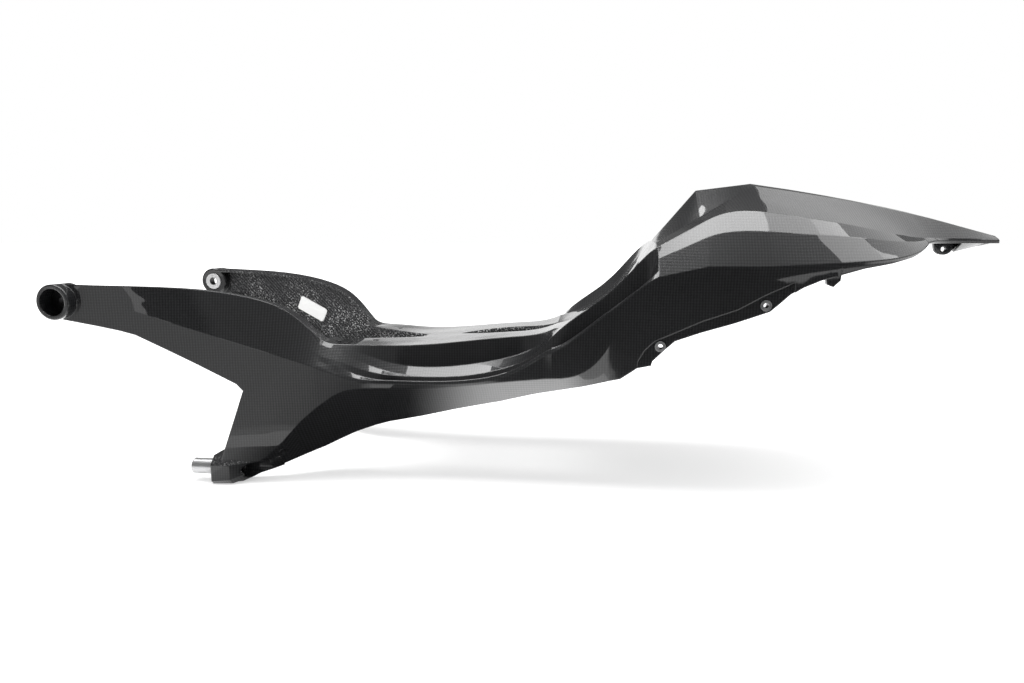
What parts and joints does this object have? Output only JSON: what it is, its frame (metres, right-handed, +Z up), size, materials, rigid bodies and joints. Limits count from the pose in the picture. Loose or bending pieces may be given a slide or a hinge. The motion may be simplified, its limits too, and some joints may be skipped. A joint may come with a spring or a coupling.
{
  "type": "motorcycle tail fairing",
  "caption": "Self-supporting motorcycle tail fairing moulded in glossy carbon laminate, with forward arms, bolt-on feet, a dished seat deck and a wedge-shaped hump.",
  "frame": {"origin": "midway between the two front eyes, on their common axis", "axes": "+X rearwards, +Y to the rider's right, +Z up"},
  "size_m": [0.809, 0.272, 0.2647],
  "materials": {
    "carbon_laminate": "clear-coated carbon weave, high gloss",
    "bare_aluminium": "turned, satin"
  },
  "bodies": {
    "root": {"tail_shell": "carbon_laminate", "eye_bushes": "bare_aluminium", "foot_sleeves": "bare_aluminium", "side_inserts": "bare_aluminium"}
  },
  "joints": []
}
